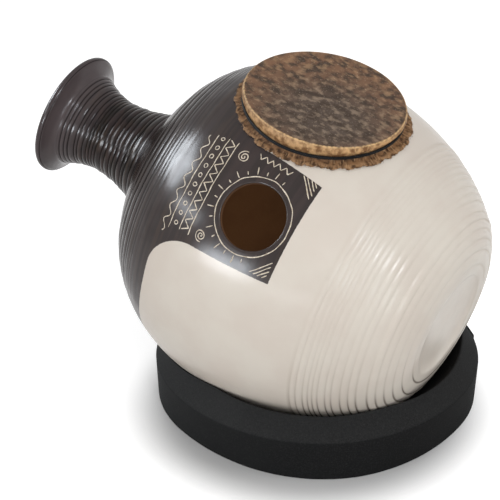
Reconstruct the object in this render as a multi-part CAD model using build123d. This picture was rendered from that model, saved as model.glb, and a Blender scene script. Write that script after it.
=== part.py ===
from build123d import *
import math
import os

# Udu drum: a wheel-thrown clay pot lying in a foam ring, with a hide head tied over a collar on its belly.
# Millimetres. The pot is drawn about its own axis, with its widest ring at zero and its mouth on the + side.

# Clay belly
belly_radius = 145.0
shoulder_length = 143.3
shoulder_fullness = 2.25
lower_length = 176.3
lower_fullness = 2.0
base_distance = 152.8
corner_distance = 133.0
base_rim = 3.2
base_dish_depth = 1.6
wall = 6.0

# Clay neck and mouth
waist_radius = 32.6
waist_distance = 191.2
neck_sweep = 99.4
mouth_sweep = 54.0
neck_blend = 17.6
neck_foot_share = 0.75
mouth_distance = 236.7
lip_radius = 55.2
lip_length = 9.6
lip_roll = 4.2

# Throwing ridges: where they run, how many there are and how high they stand
ridge_height = 0.4
corner_ridge_count = 3
lower_ridge_start = 82.0
lower_ridge_count = 8
shoulder_ridge_start = 66.0
shoulder_ridge_end = 129.0
shoulder_ridge_count = 8
neck_ridge_start = 152.0
neck_ridge_count = 10

# Arcs that draw the smooth stretches, and flat bands that the potter's rib leaves inside
belly_arcs = 6
blend_arcs = 4
mouth_bands = 2
neck_bands = 4
belly_bands = 8
form_arcs = 16

# Side hole, placed by its distance along the pot's axis and its turn from the drum head
hole_radius = 26.9
hole_distance = -7.7
hole_turn = 50.0
hole_edge = 2.0

# Collar on the belly that carries the drum head
collar_radius = 64.6
collar_wall = 6.0
collar_edge = 2.2
head_distance = 4.5

# Hide head: flat skin, rolled side band, waist for the cord and a ragged frill on the belly
skin_thickness = 0.8
skin_clearance = 0.25
band_height = 6.6
band_bulge = 1.9
frill_width = 7.0
frill_raggedness = 0.65
frill_points = 60

# Binding cord, wound round the waist of the skin
cord_diameter = 1.4
cord_turns = 2
cord_gap = 0.5
cord_clearance = 0.1
cord_room = 0.6
cord_sides = 8
cord_start_turn = 75.0
cord_samples_per_quarter = 50

# Foam ring
ring_radius = 138.5
ring_wall_height = 38.5
ring_top_radius = 124.6
ring_height = 63.6
ring_bore_radius = 92.0
ring_bore_height = 30.0
ring_foot_bevel = 2.5
seat_clearance = 0.3
joint_turn = 42.0
joint_width = 1.2
joint_depth = 4.0

# How the pot lies in the ring
pot_tilt = 13.8
pot_roll = 2.4
floor_gap = 1.7
ring_offset_along = 20.2
ring_offset_across = 5.1


def point(radius, distance):
    return (radius, 0, distance)


def belly_curve(distance):
    """Radius of the belly at a distance along the axis."""
    if distance > 0:
        length = shoulder_length
        power = shoulder_fullness
    else:
        length = lower_length
        power = lower_fullness
    share = min(1.0, abs(distance) / length)
    return belly_radius * (1 - share ** power) ** (1 / power)


def neck_curve(distance):
    """Radius of the waisted neck, which widens more quickly towards the mouth."""
    from_waist = distance - waist_distance
    sweep = neck_sweep if from_waist < 0 else mouth_sweep
    return waist_radius + from_waist ** 2 / (2 * sweep)


def outer_radius(distance):
    """Radius of the pot, with the shoulder blended into the neck."""
    belly = belly_curve(distance)
    if distance < neck_foot_share * shoulder_length:
        return belly
    neck = neck_curve(distance)
    nearness = max(0.0, neck_blend - abs(belly - neck)) / neck_blend
    return max(belly, neck) + nearness ** 2 * neck_blend / 4


def slope(distance):
    """Change of radius for each millimetre along the axis."""
    step = 0.01
    return (outer_radius(distance + step) - outer_radius(distance - step)) / (2 * step)


def curve_point(distance, offset=0.0):
    """A point of the pot's outline, moved out by an offset square to it."""
    run = math.hypot(1, slope(distance))
    radius = outer_radius(distance) + offset / run
    return point(radius, distance - offset * slope(distance) / run)


# The lower curve turns under to the flat base in one arc, tangent to both.
corner_angle = math.atan2(1, slope(-corner_distance))
corner_radius = (base_distance - corner_distance) / (1 - math.cos(corner_angle))
base_radius = outer_radius(-corner_distance) - corner_radius * math.sin(corner_angle)


def corner_point(share, offset=0.0):
    """A point of the corner arc, from the flat base at 0 to the lower curve at 1."""
    reach = corner_radius + offset
    angle = corner_angle * share
    return point(
        base_radius + reach * math.sin(angle),
        corner_radius - base_distance - reach * math.cos(angle),
    )


def steps(start, end, count):
    return [start + (end - start) * index / count for index in range(count + 1)]


def arcs(place, values, offset=0.0, ridge=0.0):
    """Arcs through an outline, each one standing out from it by the height of a ridge."""
    edges = []
    for first, last in zip(values, values[1:]):
        middle = place((first + last) / 2, offset + ridge)
        edges.append(ThreePointArc(place(first, offset), middle, place(last, offset)))
    return edges


def lines(points):
    return [Line(first, last) for first, last in zip(points, points[1:])]


def turned(edges):
    return revolve(make_face(edges), Axis.Z)


def turned_outline(points):
    return turned(lines(points + points[:1]))


def pot_outline():
    """Closed half section of the pot: outside from base to lip, then inside back to the base."""
    dish_radius = base_radius - base_rim
    dish_top = point(0, base_dish_depth - base_distance)
    dish_edge = point(dish_radius, -base_distance)
    dish_middle = point(dish_radius / 2, base_dish_depth * 3 / 4 - base_distance)
    edges = [ThreePointArc(dish_top, dish_middle, dish_edge)]
    edges.append(Line(dish_edge, corner_point(0)))

    lip_root = mouth_distance - lip_length
    lower = steps(-corner_distance, -lower_ridge_start, lower_ridge_count)
    middle = steps(-lower_ridge_start, shoulder_ridge_start, belly_arcs)
    shoulder = steps(shoulder_ridge_start, shoulder_ridge_end, shoulder_ridge_count)
    blend = steps(shoulder_ridge_end, neck_ridge_start, blend_arcs)
    neck = steps(neck_ridge_start, lip_root, neck_ridge_count)
    edges += arcs(corner_point, steps(0, 1, corner_ridge_count), ridge=ridge_height)
    edges += arcs(curve_point, lower, ridge=ridge_height)
    edges += arcs(curve_point, middle)
    edges += arcs(curve_point, shoulder, ridge=ridge_height)
    edges += arcs(curve_point, blend)
    edges += arcs(curve_point, neck, ridge=ridge_height)

    # Lip: flares out from the neck, rolls over its widest edge and is bevelled into the bore.
    root = curve_point(lip_root)
    widest = point(lip_radius, mouth_distance - lip_roll)
    flare_middle = point((root[0] + 2 * lip_radius) / 3, (lip_root + widest[2]) / 2)
    roll_cut = lip_roll * (1 - math.sqrt(1 / 2))
    roll_middle = point(lip_radius - roll_cut, mouth_distance - roll_cut)
    front = point(lip_radius - lip_roll, mouth_distance)
    inner_lip = point(front[0] - lip_roll, mouth_distance - lip_roll / 2)
    edges.append(ThreePointArc(root, flare_middle, widest))
    edges.append(ThreePointArc(widest, roll_middle, front))

    # Inside: broad bands, a wall's thickness in from the outside.
    places = steps(lip_root, waist_distance, mouth_bands)
    places += steps(waist_distance, shoulder_ridge_end, neck_bands)[1:]
    places += steps(shoulder_ridge_end, -corner_distance, belly_bands)[1:]
    inside = [front, inner_lip]
    inside += [curve_point(place, -wall) for place in places]
    inside += [corner_point(1 / 2, -wall), corner_point(0, -wall)]
    inside += [point(0, wall + base_dish_depth - base_distance), dish_top]
    return edges + lines(inside)


def belly_form(offset):
    """The smooth belly without its neck, grown by an offset, as a plug for what lies against it."""
    low = corner_point(0, offset)
    high = curve_point(shoulder_ridge_end, offset)
    edges = arcs(corner_point, [0, 1], offset)
    edges += arcs(curve_point, steps(-corner_distance, shoulder_ridge_end, form_arcs), offset)
    edges += lines([high, point(0, high[2]), point(0, low[2]), low])
    return turned(edges)


# Skin and cord, measured out from the collar that they go round.
skin_inside = collar_radius + skin_clearance
skin_waist = skin_inside + skin_thickness
frill_offset = skin_clearance + ridge_height
winding_height = cord_turns * cord_diameter + (cord_turns - 1) * cord_gap
cord_radius = skin_waist + cord_clearance + cord_diameter / 2


def head_level(distance):
    """Height of the head above the axis that just lets the cord clear the frill at one end of the head."""
    frill_top = (frill_offset + skin_thickness) * math.hypot(1, slope(distance))
    return outer_radius(distance) + frill_top + cord_room + winding_height + band_height


# The head rests as low on the belly as its cord and frill allow, which leans it a little to the mouth.
mouth_level = head_level(head_distance + skin_waist)
base_level = head_level(head_distance - skin_waist)
head_height = (mouth_level + base_level) / 2
head_lean = math.atan2(base_level - mouth_level, 2 * skin_waist)
collar_depth = head_height - math.sqrt(belly_radius ** 2 - skin_waist ** 2) + wall
head_plane = Plane(
    origin=(head_height, 0, head_distance),
    x_dir=(0, 1, 0),
    z_dir=(math.cos(head_lean), 0, math.sin(head_lean)),
)
hole_plane = Plane(
    origin=(0, 0, hole_distance),
    x_dir=(0, 0, 1),
    z_dir=(math.cos(math.radians(hole_turn)), -math.sin(math.radians(hole_turn)), 0),
)


def clay_vessel():
    # Collar: a plug on the belly, bored through together with the clay under it.
    collar_top = -skin_thickness - skin_clearance
    plug = turned_outline([
        point(0, -collar_depth),
        point(collar_radius, -collar_depth),
        point(collar_radius, collar_top - collar_edge),
        point(collar_radius - collar_edge, collar_top),
        point(0, collar_top),
    ])
    bore = Cylinder(collar_radius - collar_wall, belly_radius)
    bore = Pos(0, 0, wall - belly_radius / 2) * bore
    pot = turned(pot_outline()) + (head_plane * plug - belly_form(-wall / 2))
    pot = pot - head_plane * bore

    # Side hole: a straight bore whose outer edge is bevelled.
    rim_radius = hole_radius + hole_edge
    rim_height = math.sqrt(outer_radius(hole_distance) ** 2 - rim_radius ** 2)
    hole = turned_outline([
        point(0, rim_height / 2),
        point(hole_radius, rim_height / 2),
        point(hole_radius, rim_height - hole_edge),
        point(rim_radius, rim_height),
        point(rim_radius, belly_radius + wall),
        point(0, belly_radius + wall),
    ])
    return pot - hole_plane * hole


def drum_skin():
    # Flat skin, side band and waist, drawn about the head's own axis with the top of the skin at zero.
    under = -skin_thickness
    top_edge = point(skin_waist, 0)
    band_middle = point(skin_waist + band_bulge, -band_height / 2)
    band_foot = point(skin_waist, -band_height)
    cover = turned([
        ThreePointArc(top_edge, band_middle, band_foot),
        *lines([
            band_foot,
            point(skin_waist, -collar_depth),
            point(skin_inside, -collar_depth),
            point(skin_inside, under - collar_edge),
            point(skin_inside - collar_edge, under),
            point(0, under),
            point(0, 0),
            top_edge,
        ]),
    ])

    # Frill: the loose end of the skin, ragged at its edge, lying on the belly.
    corners = []
    for index in range(frill_points):
        angle = 2 * math.pi * index / frill_points
        ragged = math.sin(7 * angle) + math.sin(17 * angle + 1) + math.sin(29 * angle + 2)
        reach = skin_waist + frill_width + frill_raggedness * ragged
        corners.append((reach * math.cos(angle), reach * math.sin(angle)))
    sheet = make_face(Polyline(*corners, close=True)) - Circle(skin_inside + skin_thickness / 2)
    frill = head_plane * extrude(sheet, -2 * collar_depth)
    frill = frill & belly_form(frill_offset + skin_thickness)
    # The belly shapes only what is outside the collar: the frill and the foot of the waist.
    inside = Cylinder(collar_radius + skin_clearance / 2, 4 * collar_depth)
    return head_plane * cover + frill - (belly_form(frill_offset) - head_plane * inside)


def binding_cord():
    # One unbroken winding of quarter-turn arcs, level but for the last quarter of each turn, a step down.
    pitch = cord_diameter + cord_gap
    top = -band_height - cord_clearance - cord_diameter / 2
    quarters = 4 * cord_turns - 1

    def place(quarter):
        angle = math.radians(cord_start_turn + 90 * quarter)
        turn = int(quarter // 4)
        level = turn + max(0.0, quarter - 4 * turn - 3)
        return Vector(cord_radius * math.cos(angle), cord_radius * math.sin(angle), top - pitch * level)

    path = []
    for quarter in range(quarters):
        path.append(ThreePointArc(place(quarter), place(quarter + 1 / 2), place(quarter + 1)))
    start = path[0] @ 0
    end = path[-1] @ 1
    lead = Line(start - (path[0] % 0) * cord_diameter, start)
    tail = Line(end, end + (path[-1] % 1) * cord_diameter)
    route = Wire([lead, *path, tail])
    section = Plane(origin=route @ 0, z_dir=route % 0) * RegularPolygon(cord_diameter / 2, cord_sides)
    cord = sweep(section, route)

    samples = [place(step / cord_samples_per_quarter) for step in range(quarters * cord_samples_per_quarter)]
    nearest = min(
        (first - second).length
        for index, first in enumerate(samples)
        for second in samples[index + 2 * cord_samples_per_quarter:]
    )
    print("cord length", round(route.length, 1), "least gap to itself", round(nearest - cord_diameter, 2))
    print("cord volume over section times length", round(cord.volume / (section.area * route.length), 3))
    return head_plane * cord


# The pot leans mouth upwards, rolled a little to the side of its hole, with its lowest point just above the floor.
tilt = math.radians(pot_tilt)
roll = math.radians(pot_roll)
pot_drop = max(
    outer_radius(distance) * math.cos(tilt) - distance * math.sin(tilt)
    for distance in steps(-corner_distance, 0, 10 * form_arcs)
)
pot_frame = Plane(
    origin=(0, 0, floor_gap + pot_drop),
    x_dir=(math.sin(tilt) * math.cos(roll), -math.sin(roll), math.cos(tilt) * math.cos(roll)),
    z_dir=(-math.cos(tilt), 0, math.sin(tilt)),
)


def foam_ring():
    # Straight outer wall, bevelled top, and a sloping seat pressed to the belly's shape.
    ring = turned_outline([
        point(ring_bore_radius, 0),
        point(ring_radius - ring_foot_bevel, 0),
        point(ring_radius, ring_foot_bevel),
        point(ring_radius, ring_wall_height),
        point(ring_top_radius, ring_height),
        point(ring_bore_radius, ring_bore_height),
    ])
    # Butt joint of the foam strip, seen as a slit in the outer wall and the bevel.
    slit = Pos(ring_radius, 0, 0) * Box(2 * joint_depth, joint_width, 2 * ring_height)
    ring = Pos(ring_offset_along, ring_offset_across, 0) * (ring - Rot(0, 0, joint_turn) * slit)
    return ring - pot_frame * belly_form(seat_clearance + ridge_height)


pieces = {
    "foam_ring": foam_ring(),
    "clay_vessel": pot_frame * clay_vessel(),
    "drum_skin": pot_frame * drum_skin(),
    "binding_cord": pot_frame * binding_cord(),
}

# The origin is on the floor, under the middle of the whole drum.
box = Compound(children=[Compound(piece.solids()) for piece in pieces.values()]).bounding_box()
shift = Pos(-(box.min.X + box.max.X) / 2, -(box.min.Y + box.max.Y) / 2, -box.min.Z)
print("size", box.size, "pot moved along X by", round(shift.position.X, 3))
print("head height", round(head_height, 3), "lean", round(math.degrees(head_lean), 3))
print("pot height", round(floor_gap + pot_drop, 3), "base radius", round(base_radius, 2))

os.makedirs("parts", exist_ok=True)
for name, piece in pieces.items():
    export_step(shift * piece, os.path.join("parts", name + ".step"))
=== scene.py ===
import math

import bpy
import numpy as np
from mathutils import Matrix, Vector


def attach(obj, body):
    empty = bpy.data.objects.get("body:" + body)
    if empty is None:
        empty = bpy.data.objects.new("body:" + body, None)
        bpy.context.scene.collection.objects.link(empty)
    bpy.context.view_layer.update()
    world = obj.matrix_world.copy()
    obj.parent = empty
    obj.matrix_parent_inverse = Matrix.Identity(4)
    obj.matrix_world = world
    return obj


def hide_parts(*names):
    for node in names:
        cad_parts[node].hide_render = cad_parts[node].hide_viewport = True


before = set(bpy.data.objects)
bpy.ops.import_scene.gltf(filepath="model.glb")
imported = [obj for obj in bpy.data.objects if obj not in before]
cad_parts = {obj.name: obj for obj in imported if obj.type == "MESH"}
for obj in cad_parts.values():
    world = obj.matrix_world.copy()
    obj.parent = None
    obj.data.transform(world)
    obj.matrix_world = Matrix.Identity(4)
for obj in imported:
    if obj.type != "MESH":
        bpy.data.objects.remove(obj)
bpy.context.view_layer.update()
print("frame loaded:", ", ".join(sorted(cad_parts)))


# camera, at the photograph's angle

cameraSet = {"place": (0.8334, -1.3328, 1.0423), "turn": (59.713, 0.0, 32.192), "lens": 151.82,
             "sensor": 36.0}
cameraData = bpy.data.cameras.new("photoCamera")
cameraData.sensor_width = cameraSet["sensor"]
cameraData.lens = cameraSet["lens"]
camera = bpy.data.objects.new("photoCamera", cameraData)
camera.location = cameraSet["place"]
camera.rotation_euler = [math.radians(angle) for angle in cameraSet["turn"]]
bpy.context.scene.collection.objects.link(camera)
bpy.context.scene.camera = camera


# small helpers for meshes; shapes are worked out in millimetres

milli = 0.001


def gridFaces(ringCount, around, endless=False):
    # quads between rings of points; an endless row of rings meets its own start
    faces = []
    for ring in range(ringCount if endless else ringCount - 1):
        first, second = ring * around, (ring + 1) % ringCount * around
        for step in range(around):
            after = (step + 1) % around
            faces.append((first + step, first + after, second + after, second + step))
    return faces


def makePiece(name, points, faces):
    mesh = bpy.data.meshes.new(name)
    mesh.from_pydata([tuple(p) for p in np.asarray(points) * milli], [], faces)
    mesh.validate()
    mesh.polygons.foreach_set("use_smooth", [True] * len(mesh.polygons))
    mesh.update()
    piece = bpy.data.objects.new(name, mesh)
    bpy.context.scene.collection.objects.link(piece)
    return piece


def outwards(piece):
    bpy.context.view_layer.objects.active = piece
    piece.select_set(True)
    bpy.ops.object.mode_set(mode="EDIT")
    bpy.ops.mesh.select_all(action="SELECT")
    bpy.ops.mesh.normals_make_consistent(inside=False)
    bpy.ops.object.mode_set(mode="OBJECT")
    piece.select_set(False)


def storeValue(piece, name, values):
    layer = piece.data.attributes.new(name, "FLOAT", "POINT")
    layer.data.foreach_set("value", np.asarray(values, np.float32))


def waves(angle, counts, seed):
    rng = np.random.default_rng(seed)
    total = np.zeros_like(angle)
    for count in counts:
        total += np.sin(count * angle + rng.uniform(0, 2 * math.pi)) * rng.uniform(0.6, 1.0)
    return total / len(counts)


# where the pot lies: middle of its widest ring, its tilt, and its own directions

potLie = {"middle": (39.971, 0.0, 148.66), "tilt": 13.8, "roll": 2.4}
potTilt, potRoll = math.radians(potLie["tilt"]), math.radians(potLie["roll"])
potMiddle = np.array(potLie["middle"])
mouthWay = np.array([-math.cos(potTilt), 0.0, math.sin(potTilt)])
upright, nearWay = np.array([math.sin(potTilt), 0.0, math.cos(potTilt)]), np.array([0.0, -1.0, 0.0])
headWay = math.cos(potRoll) * upright + math.sin(potRoll) * nearWay
sideWay = math.cos(potRoll) * nearWay - math.sin(potRoll) * upright


def potPoint(along, up, side):
    along, up, side = np.broadcast_arrays(along, up, side)
    return potMiddle + along[..., None] * mouthWay + up[..., None] * headWay + side[..., None] * sideWay


def roundPot(along, turn, radius):
    return potPoint(along, np.cos(turn) * radius, np.sin(turn) * radius)


# the thrown profile of the pot

clay = {
    "belly": 145.0, "shoulder": 143.3, "fullness": 2.25, "lower": 176.3, "wall": 6.0,
    "base": 152.8, "corner": 133.0, "baseRim": 2.4, "baseDish": 3.0, "dishPower": 9,
    "waist": 32.6, "waistAt": 191.2, "neckSweep": 99.4, "mouthSweep": 54.0, "blend": 17.6, "neckFrom": 107.5,
    "lipFrom": 224.4, "lipBack": 232.6, "lipFlare": 53.9, "rollAt": 235.0, "rollMiddle": 51.5, "roll": 3.7,
    "mouth": 238.7, "lipBore": 46.8, "lipBevel": 2.4, "lipLine": (0.25, 0.1), "columns": 216,
    # grooves left by the potter's fingers, along the axis, and how high the ridges between them stand
    "cornerLines": [-152.5, -150.0, -146.6, -142.6, -138.2, -133.4],
    "lowerLines": [-133.4, -126.4, -121.6, -116.4, -110.4, -106.4, -101.0, -97.4, -94.2, -90.4, -85.2, -80.6],
    "shoulderLines": [72.6, 79.6, 84.4, 87.2, 92.0, 95.2, 100.8, 107.2, 113.2, 119.4],
    "neckLines": [139.5, 143.2, 147.5, 154.4, 158.0, 164.2, 169.2, 173.2, 179.0, 183.2, 189.5, 192.6, 195.6,
                  198.6, 202.5, 206.9, 209.6, 215.0, 218.0, 221.4, 224.4],
    "cornerRise": 1.05, "lowerRise": 0.62, "shoulderRise": 0.7, "neckRise": 1.05,
    "cornerSkew": 0.6, "fullWidth": 5.2, "roundness": 0.75, "grooveWidth": 0.5, "cornerGroove": 0.65,
    "faintFrom": 74.0, "faintRun": 26.0, "faintest": 0.18,
    # rows of the mesh: shares of the dish and its rim, steps along the axis, and places on the inside
    "dishShares": (0, 0.2, 0.4, 0.6, 0.75, 0.84, 0.9, 0.94, 0.97, 0.99),
    "rimShares": ((0.25, 0.03), (0.6, 0.0), (0.85, 0.0)),
    "cornerRows": 64, "ridgeRows": 6, "neckRows": 5, "plainStep": 2.2, "middleRows": (-78.0, 70.1, 3.7),
    "neckInside": (228, 222, 212, 202, 191, 180, 168, 156, 146, 138, 130, 120, 108, 96, 84, 76),
    "lowerInside": (-88, -98, -108, -118, -128, -136, -142), "floorRadii": (52, 36, 18, 0),
    "bellyFrom": 100,
}


def plainRadius(along):
    along = np.asarray(along, float)
    length = np.where(along > 0, clay["shoulder"], clay["lower"])
    power = np.where(along > 0, clay["fullness"], 2.0)
    share = np.clip(np.abs(along) / length, 0, 1)
    belly = clay["belly"] * (1 - share ** power) ** (1 / power)
    fromWaist = along - clay["waistAt"]
    sweep = np.where(fromWaist < 0, clay["neckSweep"], clay["mouthSweep"])
    neck = clay["waist"] + fromWaist ** 2 / (2 * sweep)
    neck = np.where(along > clay["neckFrom"], neck, -1000.0)
    near = np.clip(clay["blend"] - np.abs(belly - neck), 0, None) / clay["blend"]
    return np.maximum(belly, neck) + near ** 2 * clay["blend"] / 4


def plainSlope(along, step=0.02):
    return (plainRadius(along + step) - plainRadius(along - step)) / (2 * step)


def innerRadius(along):
    return plainRadius(along) - clay["wall"] * np.hypot(1, plainSlope(along))


def faint(line):
    # the burnished shoulder carries only traces of its first grooves
    return min(1.0, max(clay["faintest"], (line - clay["faintFrom"]) / clay["faintRun"])) if line > 0 else 1.0


def ridges(along):
    # height of the ridges, and 1 in the bottom of each groove
    along = np.asarray(along, float)
    height = np.zeros_like(along)
    groove = np.zeros_like(along)
    rng = np.random.default_rng(23)
    for name in ("corner", "lower", "shoulder", "neck"):
        lines = clay[name + "Lines"]
        for first, last in zip(lines, lines[1:]):
            width = last - first
            share = np.clip((along - first) / width, 0, 1)
            skew = share ** (clay["cornerSkew"] if name == "corner" else rng.uniform(0.75, 1.35))
            rise = clay[name + "Rise"] * min(1.0, width / clay["fullWidth"]) * rng.uniform(0.6, 1.05)
            height += rise * faint(first) * np.sin(math.pi * skew) ** clay["roundness"]
        for line in lines:
            spread = clay["grooveWidth"]
            if name == "corner":
                # the corner turns across the axis, so its grooves get narrower along it
                spread = clay["cornerGroove"] * math.sqrt(2 * (clay["base"] + line) / cornerRadius)
            groove = np.maximum(groove, faint(line) * np.exp(-((along - line) / spread) ** 2))
    return height, groove


def between(lines, count):
    places = []
    for first, last in zip(lines, lines[1:]):
        places += list(np.linspace(first, last, count, endpoint=False))
    return places


cornerAngle = math.atan2(1.0, float(plainSlope(-clay["corner"])))
cornerRadius = (clay["base"] - clay["corner"]) / (1 - math.cos(cornerAngle))
baseRadius = float(plainRadius(-clay["corner"])) - cornerRadius * math.sin(cornerAngle)
middleRows = list(np.arange(*clay["middleRows"]))


def potRows():
    # one run of (along, radius, groove): from the middle of the base, outside to the mouth, and back inside
    rows = []
    dish = baseRadius - clay["baseRim"]
    for share in clay["dishShares"]:
        rows.append((clay["baseDish"] * (1 - share ** clay["dishPower"]) - clay["base"], dish * share, 0))
    for out, fall in clay["rimShares"]:
        rows.append((clay["baseDish"] * fall - clay["base"], dish + clay["baseRim"] * out, 0))

    def dressed(along, radius, slope):
        height, groove = ridges(along)
        run = math.hypot(1, slope)
        return (along - float(height) * slope / run, radius + float(height) / run, float(groove))

    for share in np.linspace(0, 1, clay["cornerRows"])[:-1]:
        angle = cornerAngle * share
        along = cornerRadius - clay["base"] - cornerRadius * math.cos(angle)
        slope = 1 / math.tan(max(angle, 0.05))
        rows.append(dressed(along, baseRadius + cornerRadius * math.sin(angle), slope))
    places = between(clay["lowerLines"], clay["ridgeRows"]) + [clay["lowerLines"][-1]] + middleRows
    places += between(clay["shoulderLines"], clay["ridgeRows"])
    places += list(np.arange(clay["shoulderLines"][-1], clay["neckLines"][0] - 0.5, clay["plainStep"]))
    places += between(clay["neckLines"], clay["neckRows"])
    for along in places:
        rows.append(dressed(along, float(plainRadius(along)), float(plainSlope(along))))

    # lip: a smooth flare, a line behind the rim, the rolled rim and the bevel into the bore
    root = float(plainRadius(clay["lipFrom"]))
    start, reach = float(plainSlope(clay["lipFrom"])), clay["lipBack"] - clay["lipFrom"]
    bend = (clay["lipFlare"] - root - start * reach) / reach ** 2
    for share in np.linspace(0, 1, 12):
        run = reach * share
        rows.append((clay["lipFrom"] + run, root + start * run + bend * run ** 2, 0))
    # the line behind the rim is marked as a groove, so the slip's painted shade darkens it
    rows.append((clay["lipBack"] + clay["lipLine"][0], clay["lipFlare"] + clay["lipLine"][1], 1.0))
    roll, rollMiddle = clay["roll"], clay["rollMiddle"]
    for angle in np.radians(np.linspace(-24, 90, 13)):
        rows.append((clay["rollAt"] + roll * math.sin(angle), rollMiddle + roll * math.cos(angle), 0))
    for share in (0.3, 0.7, 1.0):
        bevel = clay["lipBevel"] * share ** 2
        rows.append((clay["mouth"] - bevel, rollMiddle + (clay["lipBore"] - rollMiddle) * share, 0))
    outside = len(rows)

    for along in (*clay["neckInside"], *reversed(middleRows), *clay["lowerInside"]):
        rows.append((along, float(innerRadius(along)), 0))
    floor = clay["wall"] + clay["baseDish"] - clay["base"]
    for radius in clay["floorRadii"]:
        rows.append((floor, radius, 0))
    return rows, outside


# the drum head's own frame: a to the mouth, b to the side with the hole, up from the skin

head = {
    "height": 145.696, "along": 4.5, "lean": 2.022,
    "collar": 64.6, "collarBore": 58.6, "collarTop": -1.05, "collarFillet": 1.4, "collarBevel": 2.2,
    "collarCut": 0.7, "window": (-68.5, 70.2), "windowTurn": math.radians(31.0),
    "columns": 720, "skinRings": (44.0, 54.0, 60.0), "topRadius": 67.1, "edge": 1.2, "edgeTurn": 80,
    "thickness": 0.6, "sway": 0.22, "bandHeight": 7.05, "bandBulge": 1.15, "pucker": 0.4,
    "waist": 65.65, "cordFoot": -10.35, "saddle": 3.9,
    # the frill: how far it reaches and lies off the belly, its scallops, notches, pleats and lifted edge
    "frill": 7.6, "frillOff": 1.45, "frillRoot": 1.6, "frillLean": 1.3, "dipAt": 2.05, "dipWidth": 0.5,
    "scallop": 1.3, "notch": 1.3, "pleat": 0.62, "lift": 0.7,
    # how far each zone runs along the hide, for its colours
    "edgeRun": 2.0, "bandRun": 6.0, "waistRun": 2.0, "frillRun": 8.0,
}
headLean = math.radians(head["lean"])


def headPoint(a, b, up):
    along = head["along"] + a * math.cos(headLean) + up * math.sin(headLean)
    return potPoint(along, head["height"] - a * math.sin(headLean) + up * math.cos(headLean), b)


headMiddle = headPoint(0.0, 0.0, 0.0)
headUp, headMouth = headPoint(0.0, 0.0, 1.0) - headMiddle, headPoint(1.0, 0.0, 0.0) - headMiddle


def bellyUnderHead(a, b, radiusOf=plainRadius):
    # level of the belly below the skin's plane at a place of the head
    a, b = np.broadcast_arrays(np.asarray(a, float), np.asarray(b, float))
    level = np.full(a.shape, -14.0)
    for _ in range(8):
        along = head["along"] + a * math.cos(headLean) + level * math.sin(headLean)
        rise = np.sqrt(np.clip(radiusOf(along) ** 2 - b ** 2, 0, None))
        level = (rise - head["height"] + a * math.sin(headLean)) / math.cos(headLean)
    return level


# clay vessel: the turned grid, with the side hole and the collar let into it

hole = {"along": -7.7, "turn": math.radians(50.0), "radius": 26.9, "edge": 1.6, "reach": 36.0,
        "backShare": 0.4}
holeAxis = math.cos(hole["turn"]) * headWay + math.sin(hole["turn"]) * sideWay


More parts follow.
